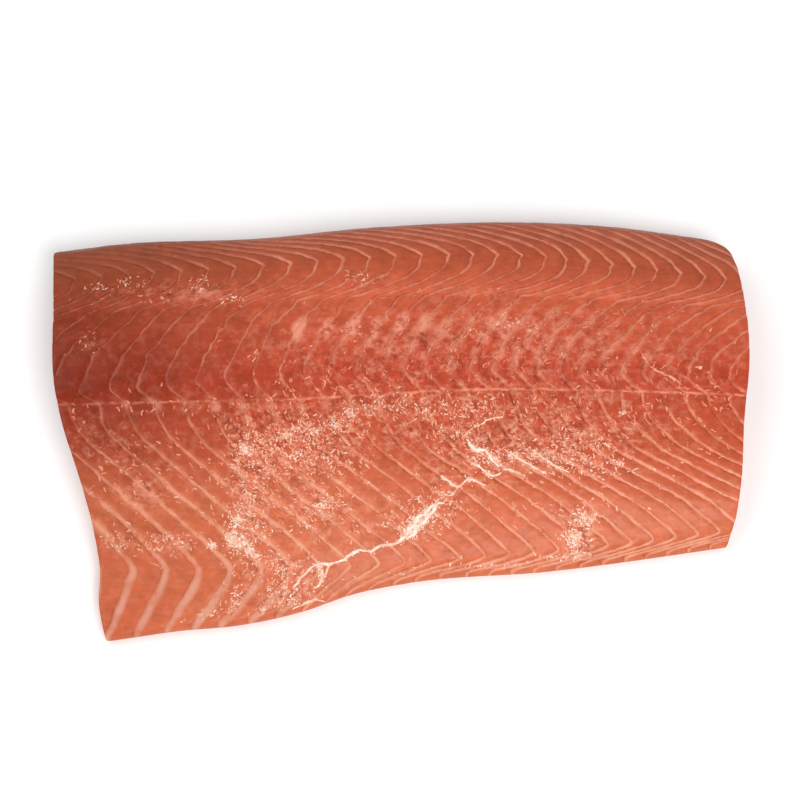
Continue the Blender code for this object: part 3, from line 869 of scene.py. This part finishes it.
def bits(name, places, points, length, width, flat, bend, astray, tint, seed):
    """Small bits lying on the flesh: each a short tube along part of a circle's arc.

    Length, width, bend and tint are drawn for each bit, its heading strays from the septa's, and
    each ring's radius is a rounded end times a drawn factor. The tint is lower in the red loin and
    higher in the pale belly.
    """
    rng = np.random.default_rng(seed)
    count = len(places)
    t = np.linspace(-1.0, 1.0, BIT_RINGS)
    half = rng.uniform(*length, count) / 2
    turned = rng.normal(0.0, bend, count)
    x, y = places.T
    heading = (along_septa(x, y) + rng.normal(0.0, astray, count))[:, None] + turned[:, None] * t
    step = np.stack((np.cos(heading), np.sin(heading)), axis=-1) * (half[:, None, None] / 2)
    spine = np.cumsum(step, axis=1)
    spine += (places - spine.mean(axis=1))[:, None]
    taper = np.sqrt(1 - (BIT_ROUNDING * t) ** 2)
    radius = rng.uniform(*width, count)[:, None] / 2 * taper
    radius = radius * rng.uniform(*BIT_KNOBS, (count, BIT_RINGS))
    vertices = tube_points(spine, radius, points, flat, BIT_SINK * flat, BIT_SIDES)
    per_bit = BIT_RINGS * BIT_SIDES + 2
    faces = tube_faces(BIT_RINGS, BIT_SIDES, np.arange(count) * per_bit)
    across = across_index(x, y)
    loin = band(RED_LOIN, across)
    belly = 1 - smooth_step(2.6, 3.2, across)
    drawn = rng.normal(*tint, count) * (1 - 0.20 * loin) + 0.08 * belly
    drawn = np.clip(drawn, 0.0, 1.0).repeat(per_bit)
    return tinted_piece(name, vertices.reshape(-1, 3), faces, drawn)


def strand_piece(points):
    """Torn strands: knobbly tubes along the strands' curves, thinner towards their ends."""
    vertices, tints, faces, total = [], [], [], 0
    for number, (half_width, tint, path) in enumerate(STRANDS):
        spine, at = strand_spine(path, STRAND_STEP, number)
        t = at / at[-1] * 2 - 1
        knobs = sum((amount * noise_along(at, row, cell, number) for amount, row, cell in STRAND_KNOBS), 1)
        radius = half_width * np.sqrt(1 - (0.97 * t) ** 4) * np.maximum(knobs, 0.25)
        tube = tube_points(spine[None], radius[None], points, STRAND_FLATNESS, STRAND_SINK, STRAND_SIDES)[0]
        faces += tube_faces(len(spine), STRAND_SIDES, np.array([total]))
        vertices.append(tube)
        along = tint + 0.20 * noise_along(at, 0.5, 0.0030, number)
        tints.append(np.concatenate((along.repeat(STRAND_SIDES), along[[0, -1]])))
        total += len(tube)
    return tinted_piece("torn_strands", np.concatenate(vertices), faces, np.concatenate(tints))


def tinted_piece(name, vertices, faces, tint):
    """A piece of small parts, with its tint kept in an attribute."""
    mesh = bpy.data.meshes.new(name)
    mesh.from_pydata(vertices, [], faces)
    attribute = mesh.attributes.new("tint", "FLOAT", "POINT")
    attribute.data.foreach_set("value", tint.astype(np.float32))
    mesh.shade_smooth()
    return link_object(name, mesh)


def outward(mesh):
    """Turns a closed mesh's faces so that they all point out."""
    bm = bmesh.new()
    bm.from_mesh(mesh)
    bmesh.ops.recalc_face_normals(bm, faces=bm.faces)
    bm.to_mesh(mesh)
    bm.free()


def link_object(name, data):
    """A new object in the scene that holds a mesh, a light or a camera."""
    made = bpy.data.objects.new(name, data)
    bpy.context.scene.collection.objects.link(made)
    return made


# Materials

# Flesh colours from belly to back, towards the head cut and in the body; the head colours are painted
# darker as shade, for the weaker light on that side
HEAD_FLESH_IN_SHADE = ((0.00, (0.560, 0.118, 0.048)), (0.13, (0.520, 0.114, 0.047)), (0.25, (0.480, 0.104, 0.042)),
              (0.37, (0.325, 0.044, 0.016)), (0.50, (0.240, 0.022, 0.006)), (0.63, (0.205, 0.018, 0.004)),
              (0.76, (0.260, 0.036, 0.013)), (0.88, (0.284, 0.058, 0.023)), (1.00, (0.285, 0.074, 0.037)))
BODY_FLESH = ((0.00, (0.600, 0.143, 0.062)), (0.13, (0.605, 0.140, 0.061)), (0.25, (0.590, 0.132, 0.057)),
              (0.37, (0.520, 0.090, 0.037)), (0.50, (0.480, 0.065, 0.027)), (0.63, (0.465, 0.056, 0.023)),
              (0.76, (0.590, 0.112, 0.050)), (0.88, (0.445, 0.083, 0.035)), (1.00, (0.430, 0.105, 0.055)))
SEPTUM_COLOURS = ((0.00, (0.80, 0.33, 0.20)), (0.12, (0.85, 0.38, 0.24)), (0.25, (0.88, 0.38, 0.24)),
                  (0.37, (0.86, 0.32, 0.19)), (0.63, (0.80, 0.25, 0.15)), (0.88, (0.78, 0.30, 0.19)),
                  (1.00, (0.60, 0.27, 0.19)))
# Septum lines towards the head cut, painted darker as shade like the flesh there
HEAD_SEPTUM_IN_SHADE = ((0.00, (0.76, 0.30, 0.18)), (0.25, (0.74, 0.28, 0.165)), (0.50, (0.64, 0.20, 0.12)),
                       (0.75, (0.60, 0.19, 0.12)), (1.00, (0.44, 0.16, 0.10)))
SMEAR_COLOURS = ((0.00, (0.88, 0.40, 0.26)), (0.37, (0.84, 0.32, 0.20)), (0.63, (0.84, 0.33, 0.22)),
                 (0.88, (0.74, 0.26, 0.16)))
FLAP_BAND = (0.69, 0.32, 0.22)
FAT_COLOUR = (0.92, 0.56, 0.38)
WHITE_FAT = (0.96, 0.83, 0.72)
DARK_MUSCLE = (0.20, 0.060, 0.036)
SKINNED_GREY = (0.52, 0.30, 0.22)
# Painted shade, multiplied into the flesh in crevices before the septa and in pits of torn ground
CREVICE_SHADE = (0.70, 0.47, 0.40)
LATERAL_COLOUR = (0.82, 0.28, 0.17)
TORN_PINK = (0.84, 0.32, 0.20)
LOIN_PINK = (0.73, 0.195, 0.115)
SHRED_COLOURS = ((0.00, (0.64, 0.13, 0.065)), (0.16, (0.76, 0.21, 0.12)), (0.35, (0.84, 0.34, 0.21)),
                 (0.60, (0.88, 0.51, 0.36)), (0.85, (0.92, 0.70, 0.56)), (1.00, (0.93, 0.82, 0.73)))
COAT_ROUGHNESS = 0.13
SPECULAR_LEVEL = 0.10

# Which sockets of the mix node hold its factor, its two colours and the mixed colour
MIX_FACTOR, MIX_FIRST, MIX_SECOND, MIX_RESULT = 0, 6, 7, 2


def add_node(tree, kind, inputs=None, **settings):
    """A new node with its settings, each input given as a constant or linked from a value."""
    made = tree.nodes.new(kind)
    for name, value in settings.items():
        setattr(made, name, value)
    for name, value in (inputs or {}).items():
        socket = made.inputs[name]
        if isinstance(value, Value):
            tree.links.new(value.socket, socket)
        elif socket.type == "RGBA":
            socket.default_value = (*value, 1.0)
        else:
            socket.default_value = value
    return made


class Value:
    """A number, place or colour that varies over the surface, as a node puts it out.

    Sums, differences, products and the like, with other values or plain numbers, add math nodes.
    """

    def __init__(self, tree, socket):
        self.tree = tree
        self.socket = socket

    def node(self, kind, inputs, output=0, **settings):
        """What a new node in the same tree puts out."""
        return Value(self.tree, add_node(self.tree, kind, inputs, **settings).outputs[output])

    def math(self, operation, *values, clamp=False):
        return self.node("ShaderNodeMath", dict(enumerate(values)), operation=operation, use_clamp=clamp)

    def __add__(self, other):
        return self.math("ADD", self, other)

    def __sub__(self, other):
        return self.math("SUBTRACT", self, other)

    def __rsub__(self, other):
        return self.math("SUBTRACT", other, self)

    def __mul__(self, other):
        return self.math("MULTIPLY", self, other)

    def __truediv__(self, other):
        return self.math("DIVIDE", self, other)

    def __abs__(self):
        return self.math("ABSOLUTE", self)

    def greater(self, other):
        """The greater of this value and another at each place."""
        return self.math("MAXIMUM", self, other)

    def held_times(self, other):
        """The product with another value, held between 0 and 1."""
        return self.math("MULTIPLY", self, other, clamp=True)

    def spread(self, low, high, new_low=0.0, new_high=1.0):
        """The stretch from low to high, smoothly mapped to the new stretch."""
        limits = {"Value": self, "From Min": low, "From Max": high, "To Min": new_low, "To Max": new_high}
        return self.node("ShaderNodeMapRange", limits, interpolation_type="SMOOTHSTEP")

    def between(self, at_none, at_full):
        """One value where this mask is 0 and the other where it is 1, eased between them."""
        return self.spread(0.0, 1.0, at_none, at_full)

    def centred(self, amount, where=None, more=0.0):
        """This value less a half, times the amount, which grows by more where the mask is 1."""
        if where is not None:
            amount = where * more + amount
        return (self - 0.5) * amount

    def noise(self, scale, detail=3.0, roughness=0.55, stretch=None):
        """Noise from 0 to 1 over this place, drawn out along an axis whose stretch is below 1."""
        place = self
        if stretch is not None:
            place = self.node("ShaderNodeMapping", {"Vector": self, "Scale": stretch})
        values = {"Vector": place, "Scale": scale, "Detail": detail, "Roughness": roughness}
        return self.node("ShaderNodeTexNoise", values, "Fac")

    def ramp(self, stops):
        """Colours between (place, colour) stops, in linear light."""
        made = add_node(self.tree, "ShaderNodeValToRGB", {"Fac": self})
        elements = made.color_ramp.elements
        while len(elements) < len(stops):
            elements.new(0.5)
        for element, (place, colour) in zip(elements, stops):
            element.position = place
            element.color = (*colour, 1.0)
        return Value(self.tree, made.outputs["Color"])

    def grey(self):
        """The grey colour as light as this value."""
        return self.node("ShaderNodeCombineColor", {"Red": self, "Green": self, "Blue": self})

    def blend(self, kind, factor, first, second):
        """Two colours joined by a mix node in the way that its kind says."""
        values = {MIX_FACTOR: factor, MIX_FIRST: first, MIX_SECOND: second}
        return self.node("ShaderNodeMix", values, MIX_RESULT, data_type="RGBA", blend_type=kind)

    def mix(self, first, second):
        """The first colour where this mask is 0, the second where it is 1."""
        return self.blend("MIX", self, first, second)

    def tinted(self, tint):
        """This colour multiplied by the tint."""
        return self.blend("MULTIPLY", 1.0, self, tint)


def mesh_value(tree, name):
    """The value that a piece's mesh holds under a name."""
    return Value(tree, add_node(tree, "ShaderNodeAttribute", attribute_name=name).outputs["Fac"])


def object_place(tree):
    """The place in the piece's own coordinates."""
    return Value(tree, add_node(tree, "ShaderNodeTexCoord").outputs["Object"])


def moist_group():
    """Moist surface: a roughness that varies in patches, and the height of fine wet grain."""
    tree = bpy.data.node_groups.new("Moist surface", "ShaderNodeTree")
    face = tree.interface
    face.new_socket("Vector", in_out="INPUT", socket_type="NodeSocketVector")
    for name, value in (("Dry", 0.45), ("Wet", 0.25), ("Grain", 1.0)):
        face.new_socket(name, in_out="INPUT", socket_type="NodeSocketFloat").default_value = value
    for name in ("Roughness", "Height"):
        face.new_socket(name, in_out="OUTPUT", socket_type="NodeSocketFloat")
    given = {socket.name: Value(tree, socket) for socket in add_node(tree, "NodeGroupInput").outputs}
    patches = given["Vector"].noise(120.0, detail=2.0)
    fine = given["Vector"].noise(900.0, detail=2.0, stretch=(0.45, 1.0, 1.0))
    roughness = patches.spread(0.35, 0.65, given["Wet"], given["Dry"])
    add_node(tree, "NodeGroupOutput", {"Roughness": roughness, "Height": fine * given["Grain"]})
    return tree


def moist_surface(where, moist, dry, wet, grain):
    """Roughness and height from the moist surface group, with a material's own limits and grain."""
    group = add_node(where.tree, "ShaderNodeGroup", node_tree=moist)
    where.tree.links.new(where.socket, group.inputs["Vector"])
    for name, value in (("Dry", dry), ("Wet", wet), ("Grain", grain)):
        group.inputs[name].default_value = value
    return [Value(where.tree, group.outputs[name]) for name in ("Roughness", "Height")]


def finish_material(colour, roughness, height, bump_strength, bump_distance, coat):
    """Joins the last values to the shader, with the constants set on its own sockets."""
    tree = colour.tree
    bump = add_node(tree, "ShaderNodeBump", {"Strength": bump_strength, "Distance": bump_distance,
                                             "Height": height})
    shader = tree.nodes["Principled BSDF"]
    tree.links.new(colour.socket, shader.inputs["Base Color"])
    tree.links.new(roughness.socket, shader.inputs["Roughness"])
    tree.links.new(bump.outputs["Normal"], shader.inputs["Normal"])
    shader.inputs["Coat Weight"].default_value = coat
    shader.inputs["Coat Roughness"].default_value = COAT_ROUGHNESS
    shader.inputs["Specular IOR Level"].default_value = SPECULAR_LEVEL


def flesh_fields(tree):
    """The mesh's values, and the places, masks and noises that several steps of the flesh read.

    across runs from 0 at the belly to 1 at the back, head from 0 in the body to 1 at the head cut.
    """
    names = ("septum", "gap", "half_width", "across", "torn", "smear", "fat", "lateral", "depth", "dark")
    field = SimpleNamespace(**{name: mesh_value(tree, name) for name in names})
    field.across = field.across / float(len(GUIDES) - 1)
    field.where = where = object_place(tree)
    field.x, y = [where.node("ShaderNodeSeparateXYZ", {"Vector": where}, axis) for axis in ("X", "Y")]
    field.broad = where.noise(28.0, detail=2.0)
    field.head = (field.x + field.broad.centred(0.05)).spread(-0.165, -0.022, 1.0, 0.0)
    field.loin = field.across.spread(0.47, 0.53)
    field.mottle = where.noise(95.0, roughness=0.6)
    field.wander = where.noise(160.0, detail=2.0)
    field.cloud = where.noise(210.0, roughness=0.6)
    field.patches = where.noise(240.0, roughness=0.6)
    field.ragged = where.noise(420.0, roughness=0.65)
    field.fibres = where.noise(520.0, detail=2.0, stretch=(0.28, 1.0, 1.0))
    field.specks = where.noise(560.0, detail=4.0, roughness=0.7, stretch=(0.7, 1.0, 1.0))
    in_flakes = where.node("ShaderNodeCombineXYZ", {"X": field.septum * 9.0, "Y": y * 190.0})
    field.feather = in_flakes.noise(1.0, detail=4.0, roughness=0.65)
    return field


def plain_flesh(field):
    """Colour by the place across the fish, painted darker towards the head cut as shade, and shaded by
    fibres, mottling and, where torn, by clouds.
    """
    colour = field.head.mix(field.across.ramp(BODY_FLESH), field.across.ramp(HEAD_FLESH_IN_SHADE))
    shade = field.fibres.spread(0.3, 0.7, 0.94, 1.06) + field.mottle.spread(0.3, 0.7, -0.08, 0.08)
    shade = shade + field.cloud.centred(0.25, field.torn, 1.5)
    return colour.tinted(shade.grey())


def line_strength(field, rough):
    """How much of the septa's pale lines is left, as a product.

    They fade in patches, by the back edge, towards the head, on rough ground, and in worn
    stretches beside the lateral line.
    """
    strength = field.where.noise(120.0, detail=2.0).spread(0.34, 0.62, 0.50, 1.0)
    by_back = field.across.spread(0.875, 0.945) * field.head.between(0.35, 0.85)
    headward = field.head.between(0.85, field.across.spread(0.20, 0.55, 0.85, 0.42))
    gone = field.cloud.spread(0.56, 0.44) * rough * 0.8
    by_lateral = abs(field.across - 0.53).spread(0.20, 0.08)
    stretches = field.where.noise(85.0, detail=2.0).spread(0.40, 0.56)
    worn = by_lateral * stretches * field.head.between(0.92, 0.45)
    return strength * (1.0 - by_back) * headward * (1.0 - gone) * (1.0 - worn)


def with_septa(field, colour):
    """A crevice before each septum in painted shade, fat smeared beside it, and its pale line.

    Gives the colour, the crevices' mask and the fraying of the lines.
    """
    rough = field.torn * field.loin.between(0.4, 1.0)
    beyond = (field.septum - field.septum.math("ROUND", field.septum)) * field.gap
    beyond = beyond + field.wander.centred(0.0010, rough, 0.0045)
    frayed = field.ragged.centred(0.0012, rough, 0.0034)
    distance = abs(beyond) + frayed

    # Painted shade: the flesh darkened in a thin band before each septum, for the shadow in its crevice
    crevice = abs(beyond + field.half_width + frayed).spread(0.0007, 0.0001)
    open_flesh = field.where.noise(60.0, detail=1.0).spread(0.35, 0.65, 0.25, 0.80) + field.torn
    crevice = crevice * open_flesh.held_times(0.8)
    colour = crevice.mix(colour, colour.tinted(CREVICE_SHADE))

    smear = distance.spread(field.smear * 0.0035 + 0.0025, 0.0003) * field.cloud.spread(0.36, 0.54)
    smear = smear.held_times(field.smear * 1.2)
    colour = smear.mix(colour, field.across.ramp(SMEAR_COLOURS))

    line = distance.spread(field.half_width * 1.2, field.half_width * 0.1) * line_strength(field, rough)
    # Towards the head the lines take colours painted darker as shade
    septum = field.head.mix(field.across.ramp(SEPTUM_COLOURS), field.across.ramp(HEAD_SEPTUM_IN_SHADE))
    flap = field.across.spread(0.17, 0.09) * field.x.spread(WIDENING_STARTS, WIDENING_FULL)
    return line.mix(colour, flap.mix(septum, FLAP_BAND)), crevice, frayed


def with_lateral_line(field, colour, frayed):
    """The thin line along the fish, wavering and broken, and fainter towards the head."""
    off_line = field.lateral + frayed * 0.6 + field.wander.centred(0.0016)
    line = abs(off_line).spread(0.0009, 0.0003) * field.cloud.spread(0.40, 0.60, 0.15, 0.85)
    return (line * field.head.between(1.0, 0.35)).mix(colour, LATERAL_COLOUR)


def with_bloom(field, colour):
    """Pale bloom in patches on the flesh side, more where torn, less by the back and the head."""
    amount = field.torn * 0.30 + field.across.spread(0.86, 0.72, 0.06, 0.16)
    bloom = field.patches.spread(0.46, 0.68) * amount * field.head.between(1.0, 0.45)
    return (bloom * field.depth.spread(0.15, 0.0)).mix(colour, field.across.ramp(SMEAR_COLOURS))


def with_torn_ground(field, colour):
    """Painted shadow in pits, and pale specks where the ground is torn: pink, deeper in the loin, and
    creamy.

    The specks are torn fibres and fat, and partly painted wet glints.
    """
    # Painted shadow between the crumbs of torn ground
    deep = field.specks.spread(0.47, 0.35).greater(field.feather.spread(0.46, 0.34))
    deep = deep * (field.torn * 0.85)
    colour = deep.mix(colour, colour.tinted(CREVICE_SHADE))
    # Pale specks: torn fibres and fat, and partly painted wet glints
    pale = field.specks.spread(0.49, 0.61) * field.patches.spread(0.36, 0.54)
    pale = pale.greater(field.feather.spread(0.50, 0.66) * 0.75) * field.torn * 0.75
    creamy = field.patches.spread(0.50, 0.66) * field.loin.between(1.0, 0.3)
    return pale.mix(colour, creamy.mix(field.loin.mix(TORN_PINK, LOIN_PINK), FAT_COLOUR))


def with_fat(field, colour):
    """Clumps of fat with a ragged edge, whiter in their middle."""
    fat = field.fat + field.ragged.centred(2.2)
    fat_colour = fat.spread(0.7, 1.2).mix(FAT_COLOUR, WHITE_FAT)
    return (fat.spread(0.35, 0.80) * 0.62).mix(colour, fat_colour)


def with_hidden_sides(field, colour):
    """The grey trace of skin underneath and the dark muscle in the cut ends."""
    skinned = field.depth.spread(0.93, 1.0) * field.broad.spread(0.35, 0.75, 0.10, 0.45)
    colour = skinned.mix(colour, SKINNED_GREY)
    return (field.dark * field.mottle.spread(0.25, 0.6, 0.55, 0.85)).mix(colour, DARK_MUSCLE)


def new_material(name):
    """A material with its nodes switched on, holding only its shader."""
    material = bpy.data.materials.new(name)
    material.use_nodes = True
    return material


def flesh_material(moist):
    """Salmon flesh in layers: the plain flesh, its septa, what lies on it, and its hidden sides."""
    material = new_material("Salmon flesh")
    field = flesh_fields(material.node_tree)
    colour, crevice, frayed = with_septa(field, plain_flesh(field))
    colour = with_lateral_line(field, colour, frayed)
    for layer in (with_bloom, with_torn_ground, with_fat, with_hidden_sides):
        colour = layer(field, colour)
    roughness, height = moist_surface(field.where, moist, dry=0.55, wet=0.32, grain=0.6)
    height = height + field.fibres * 0.5 + (field.specks + field.feather) * field.torn * 1.6 - crevice * 0.8
    finish_material(colour, roughness, height, bump_strength=0.5, bump_distance=0.0004, coat=0.10)
    return material


def shred_material(moist):
    """Torn bits: from pink flesh to cream and white fat by their drawn tint, painted darker towards the
    head as shade.
    """
    material = new_material("Fat and shreds")
    where = object_place(material.node_tree)
    mottle = where.noise(700.0, detail=2.0).spread(0.3, 0.7, -0.15, 0.15)
    # Painted shade: the bits darkened towards the head cut, as the flesh there
    headward = where.node("ShaderNodeSeparateXYZ", {"Vector": where}, "X").spread(-0.165, -0.035, 0.86, 1.0)
    colour = (mesh_value(material.node_tree, "tint") + mottle).ramp(SHRED_COLOURS).tinted(headward.grey())
    roughness, height = moist_surface(where, moist, dry=0.45, wet=0.28, grain=1.0)
    finish_material(colour, roughness, height, bump_strength=0.4, bump_distance=0.0003, coat=0.20)
    return material


def floor_material():
    """Pale matt floor with a trace of unevenness."""
    material = new_material("Pale floor")
    tree = material.node_tree
    shade = object_place(tree).noise(3.0, detail=2.0).spread(0.2, 0.8, 0.93, 0.96).grey()
    shader = tree.nodes["Principled BSDF"]
    tree.links.new(shade.socket, shader.inputs["Base Color"])
    shader.inputs["Roughness"].default_value = 0.9
    shader.inputs["Specular IOR Level"].default_value = 0.1
    shader.inputs["Emission Color"].default_value = (1.0, 1.0, 1.0, 1.0)
    shader.inputs["Emission Strength"].default_value = 0.10
    return material


# Stage: floor, soft light and the camera at the photograph's angle

FLOOR_SIZE = 6.0
FLOOR_HEIGHT = -0.0004
SURROUND_STRENGTH = 0.40
KEY_LIGHT = ((0.35, -0.75, 1.15), 0.7, 13.0)      # place, size and power
FILL_LIGHT = ((-0.7, 0.25, 1.1), 0.9, 5.0)
CAMERA_AIM = (0.0016, 0.0109, 0.015)
CAMERA_DISTANCE = 0.90
CAMERA_ELEVATION = np.radians(70.0)
CAMERA_LENS = 85.0


def area_light(name, place, size, power):
    """A square light turned to shine at the origin."""
    light = bpy.data.lights.new(name, "AREA")
    light.size = size
    light.energy = power
    lamp = link_object(name, light)
    lamp.location = place
    x, y, z = place
    lamp.rotation_euler = (np.arctan2(np.hypot(x, y), z), 0.0, np.arctan2(x, -y))


def photo_camera():
    """The camera at its distance and elevation from the aim, looking towards the back."""
    camera = bpy.data.cameras.new("camera")
    camera.lens = CAMERA_LENS
    seen_from = link_object("camera", camera)
    back, up = np.cos(CAMERA_ELEVATION) * CAMERA_DISTANCE, np.sin(CAMERA_ELEVATION) * CAMERA_DISTANCE
    seen_from.location = (CAMERA_AIM[0], CAMERA_AIM[1] - back, CAMERA_AIM[2] + up)
    seen_from.rotation_euler = (np.pi / 2 - CAMERA_ELEVATION, 0.0, 0.0)
    bpy.context.scene.camera = seen_from


def stage():
    """The floor, the even light from all round, two lights, and the camera."""
    bpy.ops.mesh.primitive_plane_add(size=FLOOR_SIZE, location=(0.0, 0.0, FLOOR_HEIGHT))
    floor = bpy.context.object
    floor.name = "floor"
    floor.data.materials.append(floor_material())

    world = bpy.data.worlds.new("Soft surround")
    bpy.context.scene.world = world
    world.use_nodes = True
    background = world.node_tree.nodes["Background"]
    background.inputs["Color"].default_value = (1.0, 1.0, 1.0, 1.0)
    background.inputs["Strength"].default_value = SURROUND_STRENGTH

    area_light("key", *KEY_LIGHT)
    area_light("fill", *FILL_LIGHT)
    photo_camera()
    bpy.context.scene.view_settings.view_transform = "Standard"


def dress(piece, material):
    """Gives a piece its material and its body."""
    piece.data.materials.append(material)
    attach(piece, "root")


moist = moist_group()
side, side_points = flesh_piece()
dress(side, flesh_material(moist))
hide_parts("salmon_side")

shreds = shred_material(moist)
fleck_places = strewn(CREAM_FLECKS, count=6200, near=0.3, seed=61)
dress(bits("cream_flecks", fleck_places, side_points, length=(0.0007, 0.0021), width=(0.0004, 0.0008),
           flat=0.50, bend=0.90, astray=0.9, tint=(0.43, 0.20), seed=62), shreds)
shred_places = strewn(PINK_SHREDS, count=6200, near=0.7, seed=65)
dress(bits("pink_shreds", shred_places, side_points, length=(0.0011, 0.0032), width=(0.0006, 0.0012),
           flat=0.32, bend=0.60, astray=0.6, tint=(0.18, 0.11), seed=66), shreds)
fat_places = np.concatenate((strewn(FAT_CLUMPS, count=3000, near=0.0, seed=67), beside_strands(seed=69)))
dress(bits("fat_crumbs", fat_places, side_points, length=(0.0004, 0.0011), width=(0.0004, 0.0009),
           flat=0.55, bend=0.8, astray=3.0, tint=(0.66, 0.22), seed=70), shreds)
dress(strand_piece(side_points), shreds)
stage()
